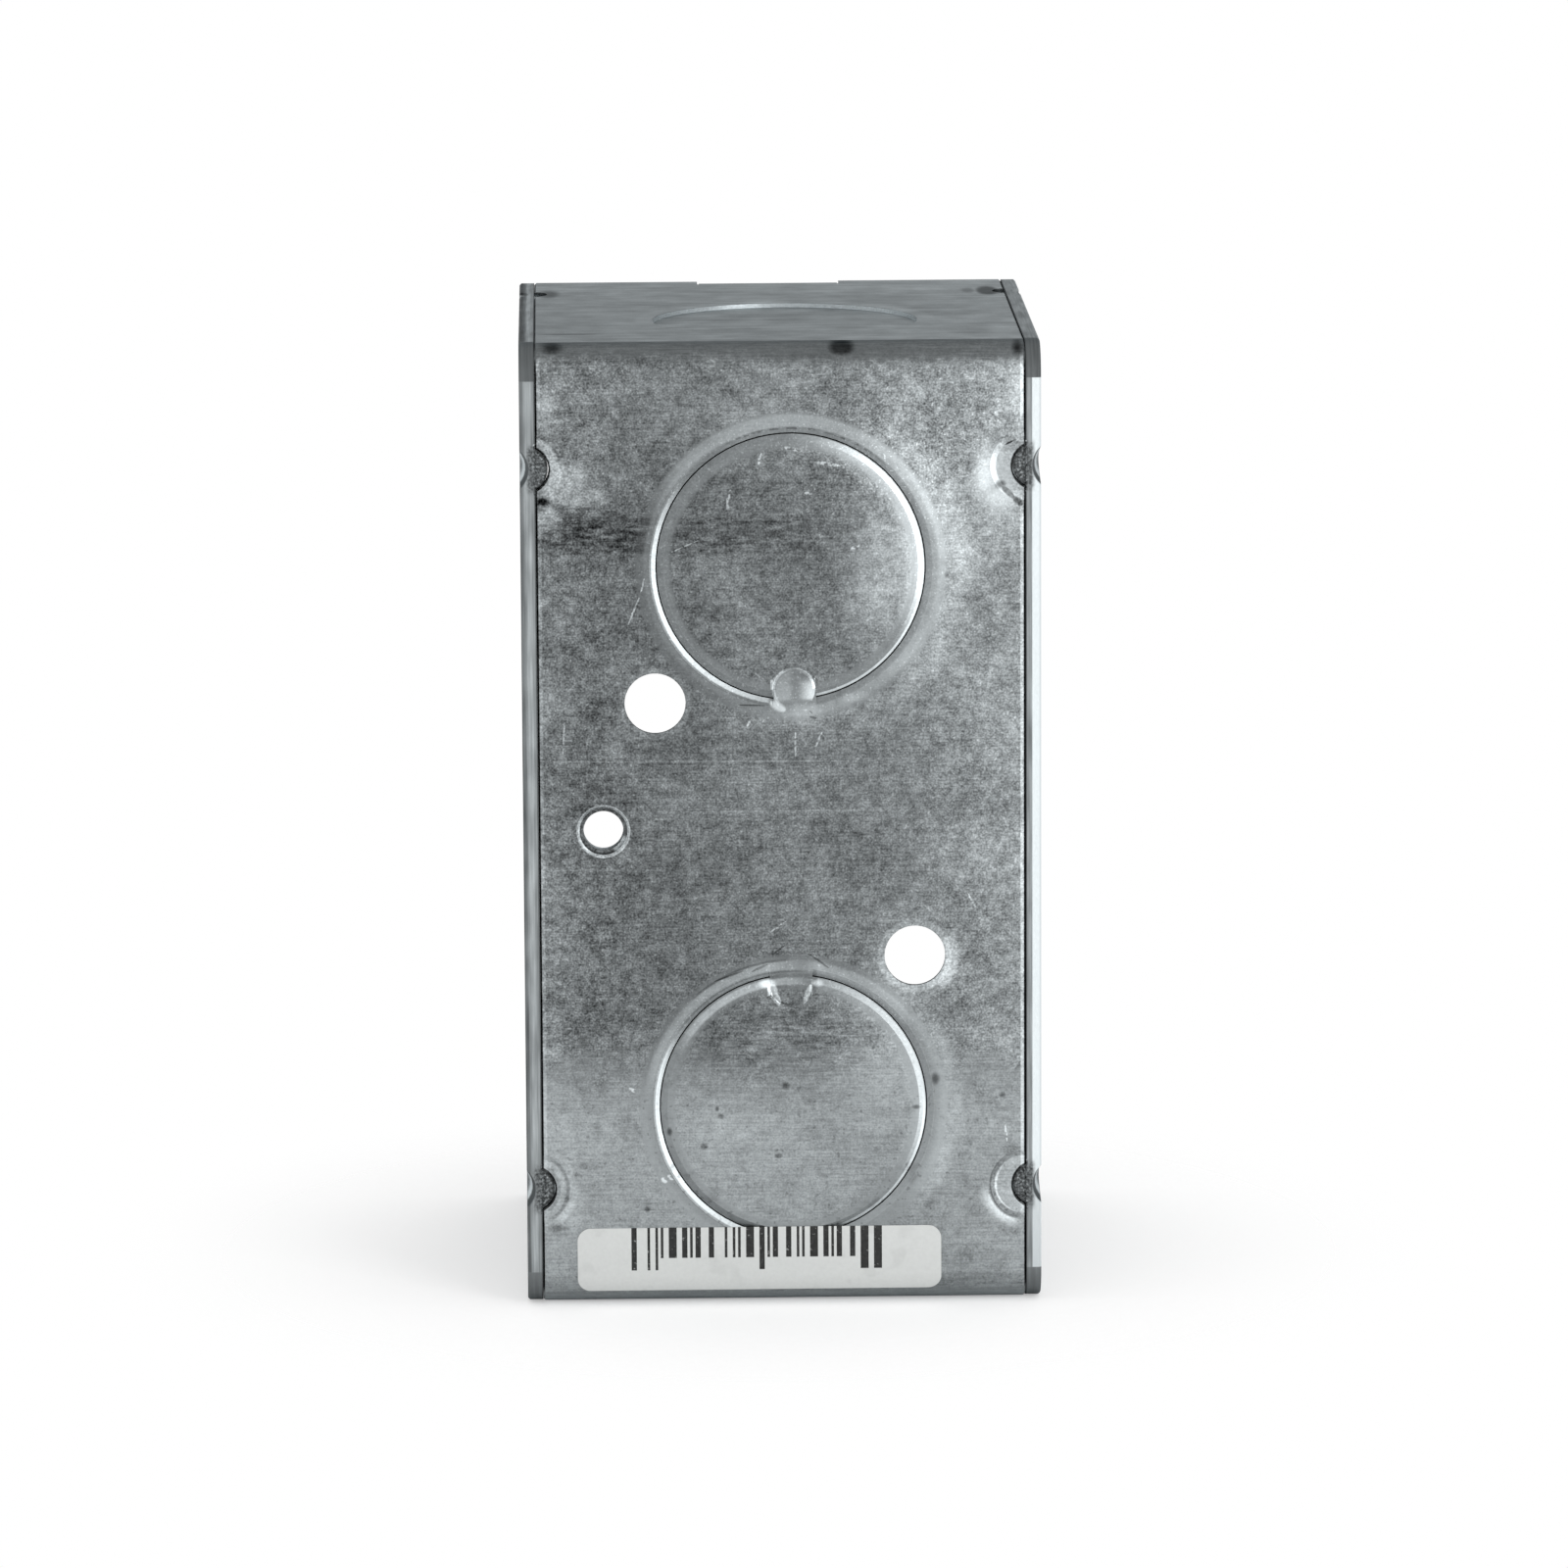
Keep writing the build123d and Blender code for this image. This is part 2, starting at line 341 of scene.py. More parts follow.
def back_level(place):
    """The broad grey levels of the back: darkest left of the middle, lighter right and low. The
    lighter right side and the two bright spots right of the upper knockout are painted highlight;
    the rest is tone that varies over the sheet.
    """
    x, z = place.x, place.z
    darkest = 107
    level = darkest + 8 * fade(x, -14, 4) + 28 * fade(x, 4, 26) + 11 * fade(x, -20, -24)
    level = level + 47 * fade(z, 31, 18) * (1 - 0.7 * fade(x, -6, 18))
    level = level + 6 * fade(z, 86, 92) + 8 * fade(z, 87, 95) * fade(x, -14, -4)
    return add_spots(place, level, [
        # Painted highlight: the first two spots, right of the upper knockout.
        (34, 15, 83, 13, 13),
        (34, 10.5, 75.5, 5.6, 10.5),
        (28, 9.5, 27, 7, 13),
        (20, 2, 63.4, 13, 4.5),
        (5, 0, 55, 24, 6),
        (-8, 14, 54, 14, 14),
        (-8, -15, 41, 12, 7),
    ])


def dark_streaks(place):
    """The dark streaked bands across the slugs and left of the upper one."""
    streaks = place.grain(0.45, detail=2.0, stretch=(5, 1, 1), shift=23.0)
    upper = band(place.z, 81.7, 1.5, 0.8) * fade(place.x, 10, -4)
    lower = place.spot(0, 29.0, 14, 5.0, 0.6)
    left = place.spot(-16.6, 81.9, 7, 2.8, 0.6)
    return upper * (15 + 9 * streaks) + left * (6 + 3 * streaks) + lower * (8 + 7 * streaks)


def both_knockouts(place, plain_level):
    """The bevels of both grooves with painted highlights on them, the painted highlight crescents
    right in them, and how smooth it is.
    """
    outer_bevel = slug_radius + 0.43
    inner_bevel = slug_radius - 0.43
    upper = calculate("GREATER_THAN", place.z, middle_z)
    slug_z = lower_slug.z + upper * (upper_slug.z - lower_slug.z)
    ring = Ring(combine(place.x - upper_slug.x, 0, place.z - slug_z))
    low = 14 * fade(place.z, 32, 20)
    level = mix(plain_level, 128 + low, ring.at(slug_radius, 1.1, 0.5) * 0.7)
    # Painted highlights: the outer bevels lighter towards the upper right, and a white arc low on
    # their left.
    lit_bevel = 110 + low + 28 * ring.towards(25, 80, 120)
    level = mix(level, lit_bevel, ring.at(outer_bevel, 0.33, 0.1))
    level = mix(level, 182, ring.arc(outer_bevel - 0.2, 0.22, 0.16, 212, 36, 80))
    level = mix(level, 130 + low, ring.at(inner_bevel, 0.32, 0.12))
    # Painted highlights: bright crescents inside the rings towards the upper right, brighter on the
    # upper one, and a thin bright line at the lower right.
    highlight_crescent = fade(ring.radius, 11.4, 13.4) * fade(ring.radius, 13.9, 13.75)
    level = level + (30 + 46 * upper) * highlight_crescent * ring.towards(26, 22, 66)
    level = mix(level, 205, ring.arc(inner_bevel + 0.2, 0.08, 0.1, -42, 30, 50))
    tie = fade(abs(place.x - 1.1), 2.6, 2.3) * fade(abs(place.z - middle_z), 19.2, 18.0)
    smooth = most(ring.at(outer_bevel, 1.6, 0.3), ring.at(13.2, 0.6, 0.3))
    return mix(level, plain_level, tie), smooth


def upper_knockout(place, level):
    """The marks of the upper knockout alone, and the smooth inside of its tie's round tip. Most are
    painted light and shade: bright halos round the ring, a broken dark line of shade above it, and
    highlights on and just below the tie's domed tip.
    """
    ring = place.ring(upper_slug.x, upper_slug.z)
    # Painted highlights: bright halos outside the ring at the top, the right and the lower right.
    level = add_arcs(ring, level, [
        (26, 15.3, 0.4, 0.5, 84, 52, 78),
        (30, 16.6, 0.9, 2.4, 6, 34, 66),
        (16, 15.2, 0.3, 0.5, -60, 22, 40),
    ])
    # Painted shade: a broken dark line just outside the ring at the top.
    broken = fade(place.grain(0.9, shift=33.0), -1.0, 0.4)
    level = level - 34 * broken * ring.arc(14.5, 0.05, 0.12, 82, 22, 40)
    tip = place.ring(1.34, 65.5)
    inside = fade(tip.radius, tie_tip_radius, tie_tip_radius - 0.12)
    # Painted highlights on the tie's domed tip, brightest on its lower right, with a lighter left
    # part and bright arcs along its outline, then bright marks just below the ring beside it.
    light = inside * fade(place.x, 1.3, 3.3) * fade(place.z, 64.2, 64.6) * fade(place.z, 67.0, 65.8)
    level = level + 92 * light
    level = level + 26 * inside * fade(place.x, 1.4, 0.6) * fade(place.z, 64.0, 64.6)
    level = add_arcs(tip, level, [
        (44, tie_tip_radius, 0.08, 0.15, 165, 40, 62),
        (22, tie_tip_radius, 0.05, 0.12, 90, 40, 60),
    ])
    level = level + 62 * place.stroke((-1.1, 64.1), (0.3, 63.3), 0.6, 0.9)
    level = add_spots(place, level, [(20, 2.3, 62.8, 3.6, 1.7), (18, 7.6, 64.6, 3.0, 0.8)])
    scuffs = most(
        place.stroke((-4.6, 63.9), (-1.7, 63.8), 0.12),
        place.stroke((2.9, 62.6), (3.6, 62.4), 0.16),
        place.stroke((2.9, 63.2), (3.2, 62.9), 0.1),
    )
    return level - 46 * scuffs, inside


def lower_knockout(place, level):
    """The marks of the lower knockout alone, mostly painted light and shade: bright arcs round its
    ring and bright patches on and beside its tie are painted highlights; thin dark lines at the
    ring's upper left and dark lines for the creases beside the tie are painted shade.
    """
    ring = place.ring(lower_slug.x, lower_slug.z)
    # Painted highlights: bright shoulders and arcs round the ring; painted shade: the two dark
    # lines at its upper left.
    shoulders = most(
        ring.arc(14.95, 0.45, 0.45, 126, 30, 56),
        ring.arc(14.95, 0.4, 0.45, 62, 14, 32),
    )
    level = add_arcs(ring, level + 24 * shoulders, [
        (46, 13.35, 0.25, 0.25, 116, 16, 40),
        (20, 16.4, 0.5, 1.4, 10, 30, 60),
        (-30, 14.42, 0.05, 0.12, 118, 22, 40),
        (-30, 15.6, 0.05, 0.14, 112, 14, 24),
    ])
    # Painted highlights on the tie's flanks.
    left = most(
        place.spot(-1.7, 34.3, 1.2, 0.7, 0.7),
        place.stroke((-1.4, 34.2), (-0.9, 33.2), 0.62, 0.4),
        place.stroke((-0.9, 33.4), (-0.35, 32.2), 0.34, 0.5),
    )
    right = most(
        place.stroke((2.9, 34.2), (2.2, 32.2), 0.36, 0.5),
        place.spot(3.6, 34.3, 0.9, 0.5, 0.7),
    )
    level = level + 76 * left + 54 * right
    # Painted shade: dark lines for the creases beside the tie.
    dark = most(
        place.stroke((-3.3, 35.6), (-1.6, 36.4), 0.18),
        place.stroke((-1.0, 37.5), (0.2, 38.4), 0.14),
        place.stroke((2.8, 37.4), (4.8, 35.9), 0.16),
        place.stroke((-7.2, 34.6), (-4.2, 35.7), 0.14),
    )
    # A painted highlight right of the tie, broken up by grain.
    light = place.spot(3.3, 37.5, 1.1, 0.7) * fade(place.grain(0.4, shift=35.0), -0.6, 1.0)
    level = level + 60 * light - 40 * dark
    return add_spots(place, level, [(18, -1.6, 36.2, 2.4, 1.3), (18, 3.6, 36.2, 2.0, 1.2)])


def scratches(place):
    """Bright scratches and scuffs on the back, each with its start, end and half width."""
    scratch_strength = 66
    lines = [
        ((-2.0, 90.3), (-2.4, 88.6), 0.16),
        ((-5.2, 86.5), (-5.6, 85.0), 0.2),
        ((-5.6, 85.0), (-5.4, 84.4), 0.25),
        ((0.2, 90.9), (2.2, 90.5), 0.26),
        ((3.6, 89.3), (6.2, 88.9), 0.26),
        ((2.5, 86.1), (3.2, 86.0), 0.26),
        ((7.2, 80.2), (8.2, 80.6), 0.22),
        ((-8.6, 81.2), (-11.4, 80.0), 0.1),
        ((-14.2, 77.3), (-14.6, 75.6), 0.13),
        ((-14.6, 75.6), (-16.0, 72.2), 0.13),
        ((1.4, 61.1), (1.4, 58.3), 0.14),
        ((4.2, 61.0), (3.5, 59.4), 0.16),
        ((-3.3, 62.2), (-3.8, 61.5), 0.2),
        ((-22.6, 62.4), (-22.8, 58.9), 0.12),
        ((22.0, 94.4), (22.7, 94.1), 0.3),
        ((-12.8, 13.6), (-12.4, 13.2), 0.34),
        ((-12.2, 13.9), (-11.7, 13.5), 0.3),
        ((-11.6, 14.3), (-11.2, 13.9), 0.2),
        ((19.3, 43.8), (20.2, 42.1), 0.14),
        ((-1.6, 39.6), (0.4, 41.0), 0.12),
        ((-16.2, 23.3), (-15.4, 22.9), 0.26),
        ((23.2, 19.0), (23.4, 17.2), 0.14),
    ]
    broken = fade(place.grain(0.45, shift=31.0), -1.4, 0.5)
    level = gathered(place.stroke(*line) for line in lines) * broken * scratch_strength
    faint_lines = [
        (18, (-24.8, 58.05), (7.0, 57.9), 0.14),
        (12, (-12, 52.6), (12, 52.7), 0.12),
        (16, (-24, 46.6), (-12, 46.5), 0.12),
    ]
    for strength, *line in faint_lines:
        level = level + strength * place.stroke(*line)
    return level


def dark_marks(place):
    """Dark specks, pits and stains on the back. Each dot has x, z, half width and half height."""
    low = fade(place.z, 30, 20)
    specks = fade(place.grain(0.6, shift=41.0), 1.7, 2.8) * low
    blots = fade(place.grain(2.2, detail=3.0, roughness=0.6, shift=43.0), 0.9, 2.2)
    blots = blots * (0.4 + 0.6 * low)
    dots = [
        (0.2, 23.4, 0.6, 0.6),
        (15.9, 24.0, 0.6, 0.9),
        (13.9, 21.0, 0.6, 0.35),
        (-8.4, 17.0, 0.5, 0.5),
        (-12.0, 18.6, 0.4, 0.6),
        (-6.6, 20.2, 0.5, 0.4),
        (-0.6, 15.9, 0.6, 0.4),
        (22.9, 22.2, 0.5, 0.4),
        (-14.4, 10.3, 0.5, 0.4),
        (9.4, 27.4, 0.3, 0.3),
        (17.2, 77.4, 0.35, 0.45),
        (-7.0, 21.0, 0.3, 0.4),
    ]
    spots = gathered(place.spot(*dot, 0.8) for dot in dots)
    return 22 * specks + 12 * blots + 56 * spots


def bright_specks(place):
    """Small glints where the coating's crystals catch the light, most at the upper right."""
    glints = fade(place.grain(0.26, shift=51.0), 1.6, 2.8)
    return glints * (26 + 30 * place.spot(14, 90, 16, 12)) * fade(place.z, 24, 30)


def upper_stakes(place, level):
    """Dark marks and painted highlights beside the two upper notches of the back, and where they
    are smooth: bright patches and a bright arc by the left notch, a smooth light area with glowing
    patches by the right one, and bright spots at the top left and top right of the back.
    """
    notch_z = stake_middle_z + stake_half_spacing
    # Painted highlights: bright patches and an arc facing the upper right by the left notch, and a
    # bright spot at the top left of the back.
    left = most(
        place.spot(-22.6, 87.4, 3.4, 3.0, 0.5),
        place.spot(-20.6, 85.9, 3.6, 1.5, 0.6),
        place.spot(-23.9, 83.7, 1.6, 1.5, 0.6),
    )
    collar = place.ring(-notch_centre_x, notch_z).arc(3.05, 0.3, 0.3, 52, 34, 56)
    level = level + 44 * left + 40 * collar + 34 * place.spot(-24.2, 95.6, 2.0, 3.4)
    # Painted highlight: a smooth light area and glowing patches by the right notch, and a bright
    # spot at the top right of the back.
    smooth = place.spot(22.5, 87.6, 3.8, 5.4, 0.8)
    level = mix(level, 180, smooth)
    painted_glow = most(place.spot(21.1, 88.2, 1.7, 4.6), place.spot(22.8, 85.3, 3.2, 1.8) * 0.8)
    level = level + 52 * painted_glow + 34 * place.spot(24.4, 96.2, 1.4, 4.8)
    dark = most(
        place.spot(22.8, 86.8, 0.8, 0.6, 0.8),
        place.stroke((22.9, 86.6), (24.2, 85.4), 0.4),
        place.stroke((24.2, 85.4), (25.0, 84.7), 0.46),
        place.stroke((23.2, 90.9), (24.2, 91.4), 0.12),
        place.spot(-24.6, 85.4, 1.0, 0.5, 0.7),
    )
    return level - 84 * dark, smooth


def lower_stakes(place, level):
    """Dark marks, painted highlight and shade arcs, and painted highlight crescents beside the two
    lower notches of the back.
    """
    left = place.ring(-notch_centre_x, stake_middle_z - stake_half_spacing)
    # Painted highlight and shade: bright and dark arcs on the right of the left notch, and a bright
    # patch beside it.
    level = add_arcs(left, level, [
        (10, 3.1, 0.2, 0.3, 0, 50, 80),
        (22, 4.3, 0.2, 0.4, -5, 30, 60),
        (-26, 3.75, 0.1, 0.15, 0, 40, 70),
        (-22, 2.8, 0.1, 0.1, 0, 40, 70),
    ])
    level = level + 22 * place.spot(-22.2, 9.6, 2.4, 2.0)
    dish = place.ring(25.2, 12.6)
    level = level + 20 * fade(dish.radius, 3.2, 3.0)
    # Painted shade on the dish's inner slope towards the left, and a painted highlight just outside
    # it towards the lower left.
    level = level - 40 * dish.arc(3.4, 0.2, 0.14, 195, 45, 90)
    highlight_crescent = fade(dish.radius, 5.2, 3.9) * fade(dish.radius, 3.7, 3.9)
    level = level + 78 * highlight_crescent * dish.towards(226, 12, 50)
    dark = most(place.spot(-23.9, 8.4, 1.6, 0.6), place.spot(23.8, 16.4, 1.4, 1.2, 0.9) * 0.6)
    return level - 46 * dark


def hole_marks(place, level):
    """Painted highlights on the rims of the round holes, and painted shade on the sides inside
    them.
    """
    upper = place.ring(mounting_holes.x - hole_reach, mounting_holes.z + hole_reach)
    lower = place.ring(mounting_holes.x + hole_reach, mounting_holes.z - hole_reach)
    ground = place.ring(ground_hole.x, ground_hole.z)
    # Painted highlights: light rims round the holes, a bright arc at the lower right of the lower
    # one, and a bright lip and arc on the ground hole.
    level = level + 18 * upper.at(3.45, 0.15, 0.3) + 26 * lower.at(3.5, 0.2, 0.35)
    level = level + 46 * lower.arc(4.0, 0.3, 0.7, -15, 25, 60)
    level = mix(level, 182, ground.at(2.62, 0.13, 0.12))
    level = mix(level, 205, ground.arc(2.5, 0.1, 0.1, 195, 25, 55))
    # Painted shade inside the holes, below the face.
    below_face = fade(place.depth, 0.01, 0.04)
    shaded_walls = most(upper.at(3.2, 0.4, 0.1), lower.at(3.2, 0.4, 0.1), fade(ground.radius, 2.52, 2.44))
    level = mix(level, 66, shaded_walls * below_face)
    # Painted highlight: a glint on the ground hole's mouth towards the lower right.
    return mix(level, 215, ground.arc(2.3, 0.14, 0.1, -38, 14, 30))


def end_level(place):
    """The grey levels of the two ends, with dark marks at the stake dents and a painted highlight
    on the far side of the slug's recess and on the sheet round it.
    """
    haze = place.grain(0.8, stretch=(14, 1, 1), shift=73.0)
    level = 142 + 9 * fade(place.depth, 30, 54) + 4 * place.grain(4.0, shift=71.0) + 4 * haze
    level = level + 7 * fade(place.x, 0, 22)
    flat = reckon("MULTIPLY_ADD", place.point, (1, 1, 0), (-top_slug.x, -top_slug.y, 0))
    reach = reckon("LENGTH", flat)
    far = fade(place.y, top_slug.y - 4, top_slug.y + 2)
    # Painted highlight on the far side of the end knockout: its recess side and the sheet just
    # outside it.
    highlight_wall = band(reach, slug_radius, 0.05, 0.1) * band(place.z, top_z - 0.24, 0.2, 0.02)
    level = mix(level, 214, highlight_wall * far)
    level = level + 10 * band(reach, slug_radius + 0.9, 0.5, 0.8) * far
    # Dark marks, most at the stake dents near both long edges, for their rough metal with painted
    # shade in them.
    stake_marks = most(
        place.end_spot(-23.9, 43.6, 1.6, 4.4) * 0.7,
        place.end_spot(23.5, 43.8, 1.5, 4.6, 0.5),
        place.end_spot(21.4, 44.0, 1.0, 3.0) * 0.4,
        place.end_spot(-21.6, 9.6, 4.4, 1.0) * 0.4,
    )
    return level - 84 * stake_marks


def grain_strength(place, bends_and_ends):
    """How much of the coating's grain shows: little low down, on the bends and on the ends."""
    smooth_strength = 0.48
    grainy = fade(place.z + 1.2 * place.grain(2.0, shift=81.0), 24, 29)
    grainy = (0.38 + 0.2 * fade(abs(place.x), 12, 20)) * grainy
    strength = smooth_strength + grainy + 0.5 * place.spot(14, 92, 16, 12)
    return strength * (1 - 0.8 * bends_and_ends)


def strip_edges(place, level):
    """The painted highlight line beside each long edge of the back, and painted shade in the gap at
    the edge itself.
    """
    edge_highlight_x = 25.0
    stake_z = 89
    gap_shade_level = 46
    # Painted highlight along the rounded edges, stronger on the right.
    edge_highlight = mix(24, 54, fade(place.x, 0, 1)) * fade(place.z, 8, 12)
    edge_highlight = edge_highlight * fade(abs(place.z - stake_z), 3, 6)
    level = level + edge_highlight * band(abs(place.x), edge_highlight_x, 0.1, 0.14)
    # Painted shade in the seam's gap.
    return mix(level, gap_shade_level, fade(abs(place.x), half_strip - 0.2, half_strip - 0.15))


def notch_rims(place, level):
    """A dark line of painted shade round each of the four half-round notches."""
    notch_shade_level = 44
    above = abs(place.z - stake_middle_z) - stake_half_spacing
    ring = Ring(combine(notch_centre_x - abs(place.x), 0, above))
    return mix(level, notch_shade_level, ring.at(notch_radius + 0.03, 0.08, 0.12))


def strip_surface(place):
    """The folded strip: the back that the photograph shows, and both ends."""
    cut_edge_level, inner_level = 128, 184
    # Painted shade darkens the upper fold, and painted light brightens the lower fold, which faces
    # the floor.
    upper_bend_shade_level, lower_bend_light_level = 102, 182
    from_middle = abs(place.z - middle_z)
    raised = calculate("MAXIMUM", from_middle - (middle_z - bend_radius), 0)
    turn =calculate("ARCTAN2", raised, bend_radius - place.depth) * (180 / math.pi)
    on_end = fade(turn, 88, 93)
    upper_half = calculate("GREATER_THAN", place.z, middle_z)
    outer = fade(place.depth, 0.7, 0.4)
    ragged = 3 * place.grain(0.8, shift=83.0) + 12 * fade(place.x, -12, 10)
    bend_light_and_shade = mix(fade(turn, 12, 60), fade(turn + ragged, 16, 52), upper_half) * fade(turn, 93, 89)
    strength = grain_strength(place, most(on_end, bend_light_and_shade))
    level, groove_smooth = both_knockouts(place, back_level(place) - dark_streaks(place))
    level, tie_smooth = upper_knockout(place, level)
    level = lower_knockout(place, level)
    level = level + scratches(place) - dark_marks(place) + bright_specks(place)
    level, glow_smooth = upper_stakes(place, level)
    level = lower_stakes(place, level)
    smooth = most(groove_smooth, tie_smooth, glow_smooth) * outer
    level = notch_rims(place, level)
    level = hole_marks(place, level)
    level = strip_edges(place, level)
    level = mix(cut_edge_level, level, outer)
    level = mix(level, end_level(place), on_end)
    inside = fade(place.depth, 1.1, 1.3) * fade(from_middle, middle_z - 1.1, middle_z - 1.3)
    level = mix(level, inner_level, inside)
    # Painted shade on the upper fold and painted light on the lower fold.
    level = mix(level, mix(lower_bend_light_level, upper_bend_shade_level, upper_half), bend_light_and_shade * 0.9)
    # Darker spots on the upper fold, at both ends and right of the middle.
    bend_dark_spots = most(
        place.spot(-23.6, 101.2, 1.6, 0.8),
        place.spot(24.6, 100.9, 0.8, 1.0),
        place.spot(6.4, 101.1, 1.7, 1.0, 0.6),
    )
    level = level - 56 * bend_dark_spots * bend_light_and_shade
    level = level + (zinc(place) * strength + rolled(place)) * (1 - 0.7 * smooth)
    return level, zinc_roughness + 0.03 * smooth


def plate_edge(place, across, side, shaded_corner):
    """The grey levels of a side plate's cut edge, with painted light and shade: on the right its
    outer part is a painted highlight; on the left its outer part and top are painted darker as
    shade; the rounded corners and the seam side get painted shade.
    """
    z = place.z
    streaks = place.grain(0.2, detail=1.5, stretch=(1, 30, 30), shift=15.0)
    edge = 140 + 6 * streaks + 5 * place.grain(1.5, stretch=(1, 3, 3), shift=19.0)
    if side < 0:
        # Painted shade on the left edge's outer part and top, with a lighter line between.
        edge = edge - 30 * fade(across, 26.5, 26.7) + 18 * band(across, 26.1, 0.2, 0.15)
        edge = edge - 48 * fade(z, top_z - 0.4, top_z - 0.2) * fade(across, 26.1, 26.4)
    else:
        # Painted highlight on the right edge's outer part.
        pale = mix(206, 228, fade(z, 10, 16))
        edge = mix(edge, pale, fade(across, 26.0, 26.12) * fade(place.depth, 3.0, 2.0))
        edge = mix(edge, 222, fade(across, 26.82, 26.9) * fade(place.depth, 3.0, 2.0))
    # Painted shade at the rounded corners and along the seam side.
    edge = mix(edge, 98 + 3 * streaks + 26 * fade(z, 50, 40), shaded_corner)
    return mix(edge, 70, fade(across, plate_inner_x + 0.14, plate_inner_x + 0.04) * 0.8)


def plate_stakes(place, across, level, crumbs):
    """The crumbled metal driven into the notches, dark partly as painted shade and ringed with
    painted shade, painted shade on the plate round them, and the sides of the dents, dark near the
    back face and a painted highlight deeper in.
    """
    above = abs(place.z - stake_middle_z) - stake_half_spacing
    ring = Ring(combine(across - notch_centre_x, 0, above))
    near_back = fade(place.depth, 2.4, 1.8)
    lens = fade(across, plate_inner_x + 0.25, plate_inner_x) * near_back
    # The driven metal is dark partly as its own rough metal and partly as painted shade; its edge
    # ring is painted shade.
    driven = 100 + 30 * crumbs + 110 * fade(crumbs, 1.0, 1.8)
    driven = mix(driven, 34, ring.at(2.3, 0.1, 0.25) * 0.8)
    level = mix(level, driven, lens * fade(ring.radius, 3, 2.6))
    # Painted shade on the plate round the notch.
    shade_by_stake = fade(ring.radius, 3.0, 1.7) * fade(across, 26.5, 25.9) * near_back
    level = mix(level, 92 + 16 * crumbs, shade_by_stake * 0.85)
    dent = fade(across, half_box - 0.02, half_box - 0.08) * fade(place.depth, 0.3, 0.34)
    dent = dent * fade(abs(above), 3.0, 2.8) * fade(across, 25.8, 25.9)
    # The dent's sides: dark near the back face, a painted highlight deeper in.
    highlight_wall = mix(88, 222, fade(place.depth, 1.6, 2.4))
    return mix(level, highlight_wall, dent * fade(place.depth, 4.6, 3.0))


def plate_surface(side):
    """The look of one side plate: its rolled faces, its cut edges and its stakes."""

    def surface(place):
        outer_level, inner_gain = 132, 52
        across = place.x * side
        from_middle = abs(place.z - middle_z)
        rim = most(
            fade(place.depth, 0.4, 0.25),
            fade(from_middle, middle_z - 0.4, middle_z - 0.25),
        )
        shaded_corner = fade(from_middle, middle_z - 3.7, middle_z - 3.6) * fade(place.depth, 4.0, 3.7)
        edge = plate_edge(place, across, side, shaded_corner)
        inside = fade(across, plate_inner_x + 0.3, plate_inner_x + 0.1)
        level = outer_level + inner_gain * inside + zinc(place) * 0.7 + rolled(place)
        level = mix(level, edge, most(rim, shaded_corner))
        crumbs = place.grain(0.26, detail=2.0, shift=27.0)
        level = plate_stakes(place, across, level, crumbs)
        return level, zinc_roughness + 0.02 * crumbs

    return surface


def printed_bars(place):
    """The ink of a generic row of bars, of which the outer and the middle ones reach lower."""
    module = 0.28
    first_x, last_x = -16.1, 10.6
    short_foot_z, extra_reach = 5.06, 1.3
    end_bars, middle_bars = 10, 3
    cell = calculate("FLOOR", (place.x - first_x) / module)
    last_cell = math.floor((last_x - first_x) / module)
    from_middle = abs(cell - last_cell / 2)
    waves = calculate("SINE", cell * 2.37) + calculate("SINE", cell * 1.31 + 0.4)
    dark = calculate("GREATER_THAN", waves, 0)
    at_ends = fade(from_middle, last_cell / 2 - end_bars, last_cell / 2 - end_bars + 0.5)
    at_middle = fade(from_middle, middle_bars / 2 + 0.5, middle_bars / 2)
    foot_z = short_foot_z - extra_reach * most(at_ends, at_middle)
    inside = fade(place.x, first_x - 0.01, first_x) * fade(place.x, last_x + 0.01, last_x)
    ink = dark * inside * fade(place.z, foot_z - 0.03, foot_z + 0.03)
    wear = fade(place.grain(0.25, shift=3.0), 2.0, 3.2)
    return ink * (1 - 0.5 * wear)


def label_material():
    """White sticker paper with its printed bars."""
    paper_level, ink_level = 219, 50
    paper_tint = (0.975, 1.0, 0.985)
    cockle_height = 0.0015
    material, tree, output = new_material("sticker_paper")
    place = Place(tree)
    ink = printed_bars(place)
    fibres = place.grain(0.35, detail=2.0)
    soiling = fade(place.grain(2.2, detail=2.0, shift=5.0), 0.6, 2.6)
    level = mix(paper_level + 0.9 * fibres - 7 * soiling, ink_level + 3 * fibres, ink)
    height = cockle_height * place.grain(1.6, shift=9.0)
    settings = {"Roughness": 0.5, "Specular IOR Level": 0.25}
    coat(output, tinted(level, paper_tint), height, settings)
    return material


def dress(node, material):
    """Gives a CAD node its finished material."""
    mesh = frame["nodes"][node].data
    for index in range(len(mesh.materials)):
        mesh.materials[index] = material


def direction(azimuth, elevation):
    """The unit vector from the box towards an azimuth and elevation of the camera's kind."""
    return Vector((
        math.sin(azimuth) * math.cos(elevation),
        -math.cos(azimuth) * math.cos(elevation),
        math.sin(elevation),
    ))


